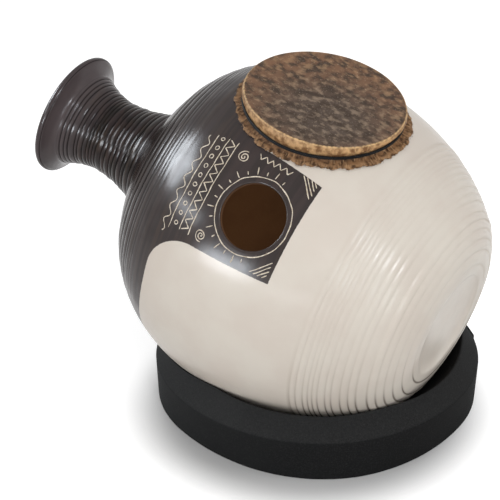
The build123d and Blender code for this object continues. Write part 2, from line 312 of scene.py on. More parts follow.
def buildVessel():
    rows, outside = potRows()
    columns = clay["columns"]
    turns = np.arange(columns) * 2 * math.pi / columns
    rowAlong = np.array([row[0] for row in rows])
    points = [roundPot(np.full(columns, along), turns, np.full(columns, radius)) for along, radius, _ in rows]
    points = list(np.concatenate(points))
    grooves = [row[2] for row in rows for _ in range(columns)]
    # a painted highlight along the rounded edge of the side hole, kept at the points
    rimHighlight = [0.0] * len(points)
    faces = []
    inner = []

    def columnOf(turn):
        return int(round(turn / (2 * math.pi / columns)))

    def windowOf(low, high, turnLow, turnHigh):
        # rows outside and inside, and columns, that frame an opening
        framed = [i for i, (along, radius, _) in enumerate(rows)
                  if low <= along <= high and radius > clay["bellyFrom"]]
        out = [i for i in framed if i < outside]
        back = [i for i in framed if i >= outside]
        return (min(out), max(out)), (max(back), min(back)), (columnOf(turnLow), columnOf(turnHigh))

    holeSpan = math.asin(hole["reach"] / clay["belly"])
    windows = {
        "hole": windowOf(hole["along"] - hole["reach"], hole["along"] + hole["reach"],
                         hole["turn"] - holeSpan, hole["turn"] + holeSpan),
        "head": windowOf(*head["window"], -head["windowTurn"], head["windowTurn"]),
    }

    def skipped(i, j):
        for out, back, side in windows.values():
            inRows = out[0] <= i < out[1] or back[1] <= i < back[0]
            if inRows and (j - side[0]) % columns < side[1] - side[0]:
                return True
        return False

    for i in range(len(rows) - 1):
        for j in range(columns):
            if skipped(i, j):
                continue
            after = (j + 1) % columns
            corners = [i * columns + j, i * columns + after, (i + 1) * columns + after, (i + 1) * columns + j]
            if rows[i][1] == 0:
                corners = [i * columns, corners[2], corners[3]]
            if rows[i + 1][1] == 0:
                corners = [corners[0], corners[1], (i + 1) * columns]
            faces.append(corners)
            inner.append(1 if i >= outside else 0)

    def frameLoop(rowSpan, side):
        low, high = rowSpan
        step = 1 if high > low else -1
        loop = [(low, j) for j in range(side[0], side[1])]
        loop += [(i, side[1]) for i in range(low, high, step)]
        loop += [(high, j) for j in range(side[1], side[0], -1)]
        loop += [(i, side[0]) for i in range(high, low, -step)]
        return loop

    def addRings(loopOut, loopIn, rings, shares, ringHighlight):
        # quads from the frame outside, over the given rings, to the frame inside
        count = len(loopOut)
        indices = [[i * columns + j % columns for i, j in loopOut]]
        for ring, value in zip(rings, ringHighlight):
            start = len(points)
            points.extend(ring)
            grooves.extend([0.0] * count)
            rimHighlight.extend([value] * count)
            indices.append(list(range(start, start + count)))
        indices.append([i * columns + j % columns for i, j in loopIn])
        for number, (first, second) in enumerate(zip(indices, indices[1:])):
            for k in range(count):
                after = (k + 1) % count
                faces.append([first[k], first[after], second[after], second[k]])
                inner.append(1 if number >= shares else 0)

    # side hole
    out, back, side = windows["hole"]
    loopOut, loopIn = frameLoop(out, side), frameLoop(back, side)
    along = np.array([rowAlong[i] for i, _ in loopOut])
    turn = np.array([turns[j % columns] for _, j in loopOut])
    radius = plainRadius(along)
    phi = np.arctan2(radius * np.sin(turn - hole["turn"]), along - hole["along"])

    def holePlace(reach, radiusOf):
        places = hole["along"] + reach * np.cos(phi)
        return places, hole["turn"] + np.arcsin(reach * np.sin(phi) / radiusOf(places))

    rings, ringHighlight = [], []
    rim = hole["radius"] + hole["edge"]
    rimAlong, rimTurn = holePlace(rim, plainRadius)
    for share in (0.3, 0.6, 0.85, 1.0):
        placeAlong = along + (rimAlong - along) * share
        placeTurn = turn + (rimTurn - turn) * share
        rings.append(roundPot(placeAlong, placeTurn, plainRadius(placeAlong)))
        ringHighlight.append(0.0)
    for angle in np.linspace(0, math.pi / 2, 6)[1:]:
        reach = hole["radius"] + hole["edge"] * (1 - math.sin(angle))
        placeAlong, placeTurn = holePlace(reach, plainRadius)
        edge = roundPot(placeAlong, placeTurn, plainRadius(placeAlong))
        rings.append(edge - hole["edge"] * (1 - math.cos(angle)) * holeAxis)
        # the rounded edge of the hole carries a painted highlight
        ringHighlight.append(math.sin(2 * angle))
    outerCount = len(rings)
    boreAlong, boreTurn = holePlace(hole["radius"], innerRadius)
    bore = roundPot(boreAlong, boreTurn, innerRadius(boreAlong))
    rings.append((rings[-1] + bore) / 2)
    rings.append(bore)
    innerAlong = np.array([rowAlong[i] for i, _ in loopIn])
    placeAlong = boreAlong + (innerAlong - boreAlong) * hole["backShare"]
    placeTurn = boreTurn + (turn - boreTurn) * hole["backShare"]
    rings.append(roundPot(placeAlong, placeTurn, innerRadius(placeAlong)))
    ringHighlight += [0.0] * (len(rings) - outerCount)
    addRings(loopOut, loopIn, rings, outerCount, ringHighlight)

    # collar under the drum head
    out, back, side = windows["head"]
    loopOut, loopIn = frameLoop(out, side), frameLoop(back, side)
    along = np.array([rowAlong[i] for i, _ in loopOut])
    turn = np.array([math.radians(360 / columns) * j for _, j in loopOut])
    ringAngle = np.arctan2(plainRadius(along) * np.sin(turn), along - head["along"])

    def collarPlace(reach, level):
        return headPoint(reach * np.cos(ringAngle), reach * np.sin(ringAngle), level)

    def onBelly(reach, radiusOf):
        a, b = reach * np.cos(ringAngle), reach * np.sin(ringAngle)
        return headPoint(a, b, bellyUnderHead(a, b, radiusOf))

    rings = []
    frameOut = np.array([points[i * columns + j % columns] for i, j in loopOut])
    foot = onBelly(head["collar"] + head["collarFillet"], plainRadius)
    for share in (0.35, 0.7):
        flat = frameOut + (foot - frameOut) * share
        off = flat - potMiddle
        placeAlong = off @ mouthWay
        placeTurn = np.arctan2(off @ sideWay, off @ headWay)
        rings.append(roundPot(placeAlong, placeTurn, plainRadius(placeAlong)))
    rings.append(foot)
    belly = bellyUnderHead(head["collar"] * np.cos(ringAngle), head["collar"] * np.sin(ringAngle))
    collar, top, bevel, nick = (head[name] for name in ("collar", "collarTop", "collarBevel", "collarCut"))
    for reach, level in ((collar, belly + head["collarFillet"]), (collar, top - bevel),
                         (collar - nick, top - nick), (collar - bevel, top), (head["collarBore"], top)):
        rings.append(collarPlace(reach, level))
    outerCount = len(rings)
    rings.append(onBelly(head["collarBore"], innerRadius))
    addRings(loopOut, loopIn, rings, outerCount, [0.0] * len(rings))

    used = sorted({index for face in faces for index in face})
    renumber = {old: new for new, old in enumerate(used)}
    keptFaces = [[renumber[index] for index in face] for face in faces]
    vessel = makePiece("clayVessel", [points[index] for index in used], keptFaces)
    storeValue(vessel, "groove", [grooves[index] for index in used])
    storeValue(vessel, "rimHighlight", [rimHighlight[index] for index in used])
    vessel.data.polygons.foreach_set("material_index", inner)
    outwards(vessel)
    return vessel


vessel = buildVessel()
print("vessel turned:", len(vessel.data.polygons), "faces")


# scratched design on the dark field: plain bands of zigzags, rings and waves round the hole

panel = {
    "across": 140.0, "lowEdge": math.radians(66.8), "highEdge": math.radians(30.8), "baseEdge": -42.6,
    "mouthEdge": 64.4, "mouthDrift": 3.2, "lowDrift": 0.037, "highDrift": 0.064, "corner": 37.0,
    "underHead": 20.0, "lineWidth": 0.95, "lineLift": 0.07, "wobble": 0.22, "step": 0.9, "clearOfHole": 29.8,
    # where the parts of the design lie, along the axis or across it
    "ring": 31.4, "rayFrom": 33.2, "rays": (36.4, 39.2), "raySpread": math.radians(13),
    "bandLines": (35.0, 44.4), "bandZigzag": (42.8, 36.6), "dotsAt": 49.6, "dot": 1.75, "lastLine": 55.0,
    "waveAt": 60.4, "wave": 2.2, "cornerAt": -39.6, "cornerLow": 2.6, "cornerHigh": 88.6, "stroke": 3.6,
    "headZigzag": (86.8, 82.4), "spirals": ((24.6, 78.5, 1), (24.2, 8.6, -1)), "spiral": 0.36,
}
holeSide = (panel["lowEdge"] - hole["turn"]) * panel["across"]


def scratchLines():
    lines = []

    def circle(x, y, radius, start):
        steps = max(8, int(radius * 2 * math.pi / 1.3))
        angles = np.linspace(start, start + 2 * math.pi, steps + 1)
        return [(x + radius * math.cos(t), y + radius * math.sin(t)) for t in angles]

    # a ring and rays round the hole
    lines.append(circle(hole["along"], holeSide, panel["ring"], 0.25))
    for number in range(-8, 9):
        angle = number * panel["raySpread"]
        lines.append([(hole["along"] + r * math.cos(angle), holeSide + r * math.sin(angle))
                      for r in (panel["rayFrom"], panel["rays"][number % 2])])
    # band of zigzags towards the mouth, between two lines
    for x in panel["bandLines"]:
        lines.append([(x, y) for y in np.linspace(3.4, 87.0, 40)])
    lines.append([(panel["bandZigzag"][k % 2], 4.5 + 4.1 * k) for k in range(21)])
    # row of small rings, a last line and a wave
    for k in range(10):
        lines.append(circle(panel["dotsAt"], 7.0 + 8.6 * k, panel["dot"], k * 0.7))
    lines.append([(panel["lastLine"], y) for y in np.linspace(-1.0, 86.0, 40)])
    lines.append([(panel["waveAt"] + panel["wave"] * math.sin(y / 2.1), y)
                  for y in np.linspace(-6.0, 84.0, 120)])
    # slanted strokes in the two corners at the base side
    for k in range(1, 5):
        stroke = panel["stroke"] * k
        for y, way in ((panel["cornerLow"], 1), (panel["cornerHigh"], -1)):
            lines.append([(panel["cornerAt"], y + way * stroke), (panel["cornerAt"] + stroke, y)])
    # short row of zigzags beside the head
    lines.append([(-17.0 + 3.1 * k, panel["headZigzag"][k % 2]) for k in range(11)])
    # two plain spirals between the hole and the band
    for x, y, way in panel["spirals"]:
        turns = np.linspace(0.6, 4.6 * math.pi, 46)
        reach = panel["spiral"] * turns
        lines.append(list(zip(x + reach * np.cos(turns), y + way * reach * np.sin(turns))))
    return lines


def addScratches():
    points, faces = [], []
    rng = np.random.default_rng(7)
    for line in scratchLines():
        line = np.array(line, float)
        lengths = np.hypot(*np.diff(line, axis=0).T)
        total = np.concatenate([[0], np.cumsum(lengths)])
        count = max(4, int(total[-1] / panel["step"]))
        at = np.linspace(0, total[-1], count)
        x = np.interp(at, total, line[:, 0])
        y = np.interp(at, total, line[:, 1])
        phase = rng.uniform(0, 6.28, 4)
        # a hand's wobble, and a line that swells and thins and runs out at both ends
        x = x + panel["wobble"] * (np.sin(at / 5.3 + phase[0]) + 0.5 * np.sin(at / 1.9 + phase[1]))
        y = y + panel["wobble"] * (np.sin(at / 4.7 + phase[2]) + 0.5 * np.sin(at / 2.3 + phase[3]))
        away = np.hypot(x - hole["along"], y - holeSide) > panel["clearOfHole"]
        direction = np.stack([np.gradient(x), np.gradient(y)], 1)
        direction /= np.linalg.norm(direction, axis=1)[:, None]
        swelling = np.sin(at / 3.1 + phase[1]) * np.sin(at / 7.7 + phase[0])
        half = panel["lineWidth"] / 2 * (0.82 + 0.25 * swelling)
        half *= np.clip(np.minimum(at, at[-1] - at) / 0.8 + 0.45, 0, 1)
        start = len(points)
        for side in (-1, 1):
            px = x - side * half * direction[:, 1]
            py = y + side * half * direction[:, 0]
            turn = panel["lowEdge"] - py / panel["across"]
            points.extend(roundPot(px, turn, plainRadius(px) + panel["lineLift"]))
        for k in range(count - 1):
            if away[k] and away[k + 1]:
                faces.append((start + k, start + k + 1, start + count + k + 1, start + count + k))
    return makePiece("scratchedLines", points, faces)


scratches = addScratches()
print("scratched lines:", len(scratches.data.polygons), "faces")


# hide head: flat skin, rolled edge, side band, waist and the pleated frill on the belly

def buildSkin():
    columns = head["columns"]
    angle = np.arange(columns) * 2 * math.pi / columns
    cosine, sine = np.cos(angle), np.sin(angle)
    waist = head["waist"]
    rings, along = [], []

    def addRing(radius, level, distance):
        rings.append(headPoint(radius * cosine, radius * sine, level))
        along.append(distance)

    # flat skin and its rounded edge, a little uneven as a hand-cut hide is
    sway = head["sway"] * waves(angle, [3, 5, 8, 13], 31)
    edge = head["edge"]
    edgeMiddle = head["topRadius"] - edge
    for radius in head["skinRings"]:
        addRing(radius, 0.0, radius)
    addRing(edgeMiddle + sway, 0.0, edgeMiddle)
    for turn in np.radians(np.linspace(15, head["edgeTurn"], 6)):
        start, foot = edgeMiddle + edge * math.sin(turn), -edge * (1 - math.cos(turn))
        addRing(start + sway, foot, edgeMiddle + edge * turn)
    creases = waves(angle, [23, 37, 58, 91], 3)
    bandFoot = -head["bandHeight"] - head["saddle"] * sine ** 2
    for share in np.linspace(0.1, 1.0, 10):
        radius = start + (waist - start) * share ** 1.5 + head["bandBulge"] * math.sin(math.pi * share)
        puckers = head["pucker"] * creases * share * (1 - share) ** 0.4
        distance = edgeMiddle + head["edgeRun"] + head["bandRun"] * share
        addRing(radius + puckers + sway * (1 - share), foot + (bandFoot - foot) * share, distance)

    # waist under the cord, then the frill that lies crinkled on the belly
    floor = bellyUnderHead(waist * cosine, waist * sine)
    cordFoot = head["cordFoot"] - head["saddle"] * sine ** 2
    startLevel = np.minimum(floor + head["frillOff"] + head["frillRoot"], cordFoot)
    underCord = edgeMiddle + head["edgeRun"] + head["bandRun"]
    for share in (0.3, 0.65):
        addRing(waist, bandFoot + (startLevel - bandFoot) * share, underCord + head["waistRun"] * share)
    reach = head["frill"] - head["frillLean"] * cosine
    reach -= np.exp(-((angle - head["dipAt"]) / head["dipWidth"]) ** 2)
    reach += 0.7 * waves(angle, [5, 9, 14], 11) + head["scallop"] * waves(angle, [23, 34, 47], 12)
    reach += head["notch"] * np.clip(waves(angle, [29, 61, 113, 157], 13), -0.6, 0.1)
    bends = 2.6 * waves(angle, [11, 17, 26], 26)
    lift = 0.5 + 0.5 * waves(angle, [7, 12, 19], 24)
    for share in np.linspace(0, 1, 13):
        radius = waist + reach * share
        a, b = radius * cosine, radius * sine
        level = bellyUnderHead(a, b) + head["frillOff"] + head["frillRoot"] * np.exp(-(radius - waist) / 0.8)
        level = np.where(radius < waist + 2.4, np.minimum(level, cordFoot), level)
        bent = angle + 0.02 * np.sin(5.0 * share + bends)
        pleats = 0.5 + 0.6 * waves(bent, [84, 117, 149], 21) + 0.5 * waves(bent, [31, 53], 22)
        loose = np.clip((radius - waist - 2.2) / 3.0, 0, 1)
        lifted = head["lift"] * share ** 2 * np.clip(lift, 0, 1)
        level += loose * (head["pleat"] * np.clip(pleats, 0, 1.3) + lifted)
        addRing(radius, level, underCord + head["waistRun"] + head["frillRun"] * share)
    faces = gridFaces(len(rings), columns) + [tuple(range(columns))]
    skin = makePiece("drumSkin", np.concatenate(rings), faces)
    storeValue(skin, "along", np.repeat(along, columns))
    outwards(skin)
    thick = skin.modifiers.new("hide", "SOLIDIFY")
    thick.thickness = head["thickness"] * milli
    thick.offset = -1.0
    return skin, reach


skin, frillReach = buildSkin()
print("skin stretched:", len(skin.data.polygons), "faces")


# short hairs left on the loose edge of the hide

hairs = {"count": 600, "shortest": 0.6, "longest": 1.9, "width": 0.24, "taper": 0.92, "raise": 0.75,
         "droop": 0.9}


def buildHairs():
    rng = np.random.default_rng(19)
    points, faces = [], []
    frillAngle = np.arange(head["columns"]) * 2 * math.pi / head["columns"]
    for _ in range(hairs["count"]):
        angle = rng.uniform(0, 2 * math.pi)
        edge = head["waist"] + float(np.interp(angle, frillAngle, frillReach, period=2 * math.pi))
        radius = edge - abs(rng.normal(0, 0.8))
        length = rng.uniform(hairs["shortest"], hairs["longest"])
        lean = rng.normal(0, 0.45)
        start = len(points)
        for share in (0.0, 0.5, 1.0):
            out = radius + length * share * math.cos(lean)
            aside = angle + length * share * math.sin(lean) / out
            half = hairs["width"] / 2 * (1 - hairs["taper"] * share)
            for side in (-1, 1):
                turn = aside + side * half / out
                a, b = out * math.cos(turn), out * math.sin(turn)
                level = float(bellyUnderHead(a, b)) + head["frillOff"] + hairs["raise"]
                points.append(headPoint(a, b, level - hairs["droop"] * share + 0.3 * rng.uniform()))
        faces.append((start, start + 1, start + 3, start + 2))
        faces.append((start + 2, start + 3, start + 5, start + 4))
    return makePiece("frillHair", points, faces)


frillHair = buildHairs()
print("frill hairs:", hairs["count"])


# binding cord: nearly two turns of twisted black cord under the band

cord = {"radius": 66.45, "thickness": 1.4, "gap": 0.12, "top": -7.85, "start": 75.0, "quarters": 7,
        "perQuarter": 6, "twist": 4.6, "strands": 3, "ply": 0.29, "sides": 7, "step": 0.62}


def cordRoute():
    curve = bpy.data.curves.new("cordRoute", "CURVE")
    curve.dimensions = "3D"
    spline = curve.splines.new("NURBS")
    count = cord["quarters"] * cord["perQuarter"] + 1
    spline.points.add(count - 1)
    swell = 1 / math.cos(math.pi / (4 * cord["perQuarter"]))
    pitch = cord["thickness"] + cord["gap"]
    for k in range(count):
        quarter = k / cord["perQuarter"]
        turn = int(quarter // 4)
        angle = math.radians(cord["start"] + 90 * quarter)
        # each turn is level for three quarters and steps down in its last
        level = cord["top"] - pitch * (turn + max(0.0, quarter - 4 * turn - 3))
        level -= head["saddle"] * math.cos(angle) ** 2
        reach = cord["radius"] * swell
        place = headPoint(reach * math.sin(angle), -reach * math.cos(angle), level)
        spline.points[k].co = (*(place * milli), 1.0)
    spline.order_u = 3
    spline.use_endpoint_u = True
    curve.resolution_u = 24
    holder = bpy.data.objects.new("cordRoute", curve)
    bpy.context.scene.collection.objects.link(holder)
    bpy.context.view_layer.update()
    line = bpy.data.meshes.new_from_object(holder)
    route = np.array([tuple(v.co) for v in line.vertices]) / milli
    bpy.data.objects.remove(holder)
    bpy.data.meshes.remove(line)
    return route


def buildCord():
    route = cordRoute()
    steps = np.linalg.norm(np.diff(route, axis=0), axis=1)
    total = np.concatenate([[0], np.cumsum(steps)])
    count = int(total[-1] / cord["step"])
    at = np.linspace(0, total[-1], count)
    middle = np.stack([np.interp(at, total, route[:, k]) for k in range(3)], 1)
    ahead = np.gradient(middle, axis=0)
    ahead /= np.linalg.norm(ahead, axis=1)[:, None]
    across = np.cross(ahead, headUp)
    across /= np.linalg.norm(across, axis=1)[:, None]
    over = np.cross(across, ahead)
    points, faces = [], []
    sides = cord["sides"]
    ply = cord["thickness"] * cord["ply"]
    for strand in range(cord["strands"]):
        phase = 2 * math.pi * (at / cord["twist"] + strand / cord["strands"])
        centre = middle + ply * (np.cos(phase)[:, None] * across + np.sin(phase)[:, None] * over)
        start = len(points)
        for k in range(sides):
            turn = 2 * math.pi * k / sides
            points.extend(centre + ply * (math.cos(turn) * across + math.sin(turn) * over))
        for k in range(sides):
            after = (k + 1) % sides
            for step in range(count - 1):
                faces.append((start + k * count + step, start + after * count + step,
                              start + after * count + step + 1, start + k * count + step + 1))
        faces.append([start + k * count for k in range(sides)])
        faces.append([start + k * count + count - 1 for k in reversed(range(sides))])
    piece = makePiece("bindingCord", points, faces)
    outwards(piece)
    return piece


bindingCord = buildCord()
print("cord wound:", len(bindingCord.data.polygons), "faces")


# foam ring: a bent strip with a straight wall, a bevelled top and a seat pressed by the belly

foam = {
    "middle": (60.171, 5.1), "outer": 138.5, "wall": 38.5, "crest": 125.2, "height": 62.6, "bore": 92.0,
    "boreHeight": 30.0, "foot": 1.6, "taper": 4.6, "gap": 1.0, "soft": 2.4, "crestSoft": 1.8, "columns": 240,
    "joint": 42.0, "jointDeep": 3.4, "jointHalf": 0.29, "jointProud": 1.5, "jointFade": 7.0,
    # degrees round the ring, how far its foot stands out there, and the share left at the top of the wall
    "swell": [(-140, 4.8), (-127, 2.7), (-113, -0.7), (-96, -1.4), (-84, 0.0), (-61, 2.3), (-45, 2.8),
              (-30, 1.0), (-12, -0.2), (0, 0.6), (18, 4.3), (34, 5.0), (120, 4.0), (200, 4.6)],
    "swellTop": 0.38,
    # and how deep the pot's weight has dented its crest
    "dent": [(-150, 0.0), (-136, -2.2), (-122, -2.0), (-110, -0.3), (-98, 2.3), (-86, 4.0), (-74, 5.4),
             (-56, 6.5), (-48, 6.4), (-40, 5.0), (-30, 4.4), (-24, 2.2), (-12, 0.0), (60, 0.0), (150, 0.0)],
}


def bellyUnderside(x, y):
    # height of the pot's lower surface over a place on the floor
    def gap(z):
        off = np.stack([x - potMiddle[0], y - potMiddle[1], z - potMiddle[2]], 1)
        along = off @ mouthWay
        radius = np.sqrt(np.clip((off ** 2).sum(1) - along ** 2, 0, None))
        return radius - plainRadius(np.clip(along, -clay["lower"], clay["mouth"]))

    levels = np.linspace(0.0, 150.0, 101)
    low = np.full(x.shape, np.nan)
    last = gap(np.zeros_like(x))
    for first, second in zip(levels, levels[1:]):
        now = gap(np.full_like(x, second))
        met = np.isnan(low) & (last > 0) & (now <= 0)
        low = np.where(met, first + (second - first) * last / np.where(last - now == 0, 1, last - now), low)
        last = now
    return np.where(np.isnan(low), 1000.0, low)


def buildFoam():
    joint = math.radians(foam["joint"])
    angle = np.arange(foam["columns"]) * 2 * math.pi / foam["columns"]
    extra = joint + np.radians([-1.2, -0.5, -0.27, -0.2, 0.0, 0.2, 0.27, 0.5, 1.2])
    angle = np.unique(np.concatenate([angle, extra]))
    columns = len(angle)
    fromJoint = np.degrees(np.angle(np.exp(1j * (angle - joint))))
    slit = np.clip((foam["jointHalf"] - np.abs(fromJoint)) / 0.06, 0, 1) * foam["jointDeep"]
    fade = np.exp(-np.clip(fromJoint, 0, None) / foam["jointFade"])
    proud = np.where(fromJoint > 0.2, foam["jointProud"] * fade, 0.0)
    sway = 0.2 * waves(angle, [2, 3, 5, 7], 5) + proud - slit

    def smoothed(places):
        shifts = (-6, -3, 0, 3, 6)
        shifted = [np.interp(np.degrees(angle) + shift, *zip(*places), period=360) for shift in shifts]
        return sum(shifted) / len(shifts)

    swell, dent = smoothed(foam["swell"]), smoothed(foam["dent"])
    outer, foot, wall, crest, bore = (foam[name] for name in ("outer", "foot", "wall", "crest", "bore"))

    def lower(first, second, soft):
        # the lower of two levels, with their meeting rounded off
        near = np.clip(soft - np.abs(first - second), 0, None) / soft
        return np.minimum(first, second) - near ** 2 * soft / 4

    def topLine(radius):
        seat = foam["boreHeight"] + (foam["height"] - foam["boreHeight"]) * (radius - bore) / (crest - bore)
        bevel = foam["height"] - (foam["height"] - wall) * (radius - crest) / (outer - crest)
        return float(lower(seat, bevel, foam["crestSoft"]))

    rings, cutFace = [], []

    def ringPlace(radius, follow, swollen):
        reach = radius + sway * follow + swell * swollen
        return foam["middle"][0] + reach * np.cos(angle), foam["middle"][1] + reach * np.sin(angle)

    def addRing(radius, level, follow, cutAndShade=0.0, swollen=0.0):
        # the cut value is 1 on the sliced bevel, painted paler partly as cut foam and partly as light from
        # above, 0 on the wall and -1 in the seat, painted dark as shade under the pot
        cutFace.append(cutAndShade)
        x, y = ringPlace(radius, follow, swollen)
        rings.append(np.stack([x, y, np.broadcast_to(level, x.shape)], 1))

    bottom = outer - foam["taper"]
    for turn in np.linspace(0, math.pi / 2, 4):
        inward, level = foot * (1 - math.sin(turn)), foot * (1 - math.cos(turn))
        # the rounded foot is half-way paler, a painted reflection of the floor
        addRing(bottom - inward, level, 1.0, 0.5 * (turn < 1.2), 1.0)
    for level in (4.0, 12.0, 20.0, 28.0, 34.0):
        share = level / wall
        addRing(bottom + foam["taper"] * share, level, 1.0, 0.0, 1.0 - (1 - foam["swellTop"]) * share)
    for inward, over in ((0.1, -1.2), (0.05, -0.6), (0.3, 0.1)):
        addRing(outer - inward, wall + over, 1.0, 0.5 * (over > 0), foam["swellTop"])
    for radius in (*np.linspace(outer - 0.7, crest + 1, 22), *np.linspace(crest, bore, 40)):
        follow = 1.0 if radius > crest + 2 else max(0.0, (radius - crest + 6) / 8)
        swollen = foam["swellTop"] * max(0.0, radius - crest) / (outer - crest)
        top = topLine(radius) - dent * min(1.0, (outer - radius) / (outer - crest))
        pressed = bellyUnderside(*ringPlace(radius, follow, swollen)) - foam["gap"]
        slicedAndLit = 1.0 if radius > crest - 0.6 else -1.0
        addRing(radius, lower(top, pressed, foam["soft"]), follow, slicedAndLit, swollen)
    for inward, level in ((0.3, 8.0), (0.0, 1.0), (0.8, 0.0)):
        addRing(bore + inward, level, 0.0)
    points = np.concatenate(rings)
    points[:, 2] = np.maximum(points[:, 2], 0.0)
    piece = makePiece("foamRing", points, gridFaces(len(rings), columns, endless=True))
    storeValue(piece, "cutAndShade", np.repeat(cutFace, columns))
    outwards(piece)
    return piece


foamRing = buildFoam()
print("foam ring bent:", len(foamRing.data.polygons), "faces")


# shader helpers

def addNode(tree, kind, inputs=None, **settings):
    node = tree.nodes.new("ShaderNode" + kind)
    for name, value in settings.items():
        setattr(node, name, value)
    for key, value in (inputs or {}).items():
        if isinstance(value, bpy.types.NodeSocket):
            tree.links.new(value, node.inputs[key])
        else:
            node.inputs[key].default_value = value
    return node


def calc(tree, operation, *values):
    return addNode(tree, "Math", dict(enumerate(values)), operation=operation).outputs[0]


def times(tree, first, second):
    return calc(tree, "MULTIPLY", first, second)


def vectorCalc(tree, operation, first, second, output="Vector"):
    return addNode(tree, "VectorMath", {0: first, 1: second}, operation=operation).outputs[output]


def ramp(tree, value, low, high, newLow=0.0, newHigh=1.0):
    limits = {"Value": value, "From Min": low, "From Max": high, "To Min": newLow, "To Max": newHigh}
    return addNode(tree, "MapRange", limits, interpolation_type="SMOOTHSTEP").outputs["Result"]


def mixColour(tree, factor, first, second):
    inputs = {0: factor, 6: first, 7: second}
    return addNode(tree, "Mix", inputs, data_type="RGBA", clamp_factor=True).outputs[2]


def noise(tree, vector, scale, detail):
    return addNode(tree, "TexNoise", {"Vector": vector, "Scale": scale, "Detail": detail}).outputs[0]


def stored(tree, name):
    # a value kept at the points of the mesh
    return addNode(tree, "Attribute", attribute_name=name).outputs["Fac"]


def relief(tree, height, strength, distance):
    inputs = {"Height": height, "Strength": strength, "Distance": distance}
    return addNode(tree, "Bump", inputs).outputs["Normal"]


def colour(red, green, blue):
    # from the 0 to 255 values that a colour picker shows
    parts = []
    for part in (red, green, blue):
        share = part / 255
        parts.append(share / 12.92 if share <= 0.04045 else ((share + 0.055) / 1.055) ** 2.4)
    return (*parts, 1.0)


def newGroup(name, inputs, outputs):
    group = bpy.data.node_groups.new(name, "ShaderNodeTree")
    for label, kind, value in inputs:
        socket = group.interface.new_socket(name=label, in_out="INPUT", socket_type="NodeSocket" + kind)
        if value is not None:
            socket.default_value = value
    for label, kind in outputs:
        group.interface.new_socket(name=label, in_out="OUTPUT", socket_type="NodeSocket" + kind)
    return group, group.nodes.new("NodeGroupInput").outputs, group.nodes.new("NodeGroupOutput").inputs


def useGroup(tree, group, **inputs):
    return addNode(tree, "Group", inputs, node_tree=group).outputs


def newMaterial(name, **settings):
    material = bpy.data.materials.new(name)
    material.use_nodes = True
    tree = material.node_tree
    shader = tree.nodes["Principled BSDF"]
    for key, value in settings.items():
        shader.inputs[key.replace("_", " ")].default_value = value
    return material, tree, shader


def feed(tree, shader, **sockets):
    for name, socket in sockets.items():
        tree.links.new(socket, shader.inputs[name.replace("_", " ")])


def makePlaceGroup(name, start, forward, up, side):
    # a point in a frame of its own, in millimetres: along the axis, the turn round it, and the place
    outputs = [("Along", "Float"), ("Turn", "Float"), ("Streak", "Vector"), ("Place", "Vector")]
    group, _, out = newGroup(name, [], outputs)
    points = addNode(group, "TexCoord").outputs["Object"]
    off = vectorCalc(group, "SUBTRACT", points, tuple(start * milli))
    along, rise, aside = (times(group, vectorCalc(group, "DOT_PRODUCT", off, tuple(way), "Value"), 1 / milli)
                          for way in (forward, up, side))
    turn = calc(group, "ARCTAN2", aside, rise)
    sine, cosine = calc(group, "SINE", turn), calc(group, "COSINE", turn)
    streak = addNode(group, "CombineXYZ", {0: along, 1: sine, 2: cosine}).outputs[0]
    place = addNode(group, "CombineXYZ", {0: along, 1: aside, 2: rise}).outputs[0]
    for label, socket in (("Along", along), ("Turn", turn), ("Streak", streak), ("Place", place)):
        group.links.new(socket, out[label])
    return group


def makeMottleGroup():
    # soft patches from 0 to 1
    group, given, out = newGroup("mottle", [("Vector", "Vector", None), ("Scale", "Float", 5.0),
                                            ("Detail", "Float", 3.0), ("Low", "Float", 0.35),
                                            ("High", "Float", 0.65)], [("Mask", "Float")])
    spots = noise(group, given["Vector"], given["Scale"], given["Detail"])
    group.links.new(ramp(group, spots, given["Low"], given["High"]), out["Mask"])
    return group


def makeGrainGroup():
    # fine surface grain: a coarse and a fine layer
    group, given, out = newGroup("fineGrain", [("Vector", "Vector", None), ("Scale", "Float", 1.0)],
                                 [("Height", "Float")])
    coarse = noise(group, given["Vector"], given["Scale"], 2.0)
    fine = noise(group, given["Vector"], times(group, given["Scale"], 3.7), 1.0)
    group.links.new(calc(group, "MULTIPLY_ADD", fine, 0.45, coarse), out["Height"])
    return group


potPlace = makePlaceGroup("potPlace", potMiddle, mouthWay, headWay, sideWay)
headPlace = makePlaceGroup("headPlace", headMiddle, headUp, headMouth, sideWay)
mottle = makeMottleGroup()
fineGrain = makeGrainGroup()


def patchy(tree, vector, scale, detail, low=0.35, high=0.65):
    return useGroup(tree, mottle, Vector=vector, Scale=scale, Detail=detail, Low=low, High=high)["Mask"]


def grainy(tree, vector, scale):
    return useGroup(tree, fineGrain, Vector=vector, Scale=scale)["Height"]


# fired clay: burnished cream body, dark slip on the neck, shoulder and panel

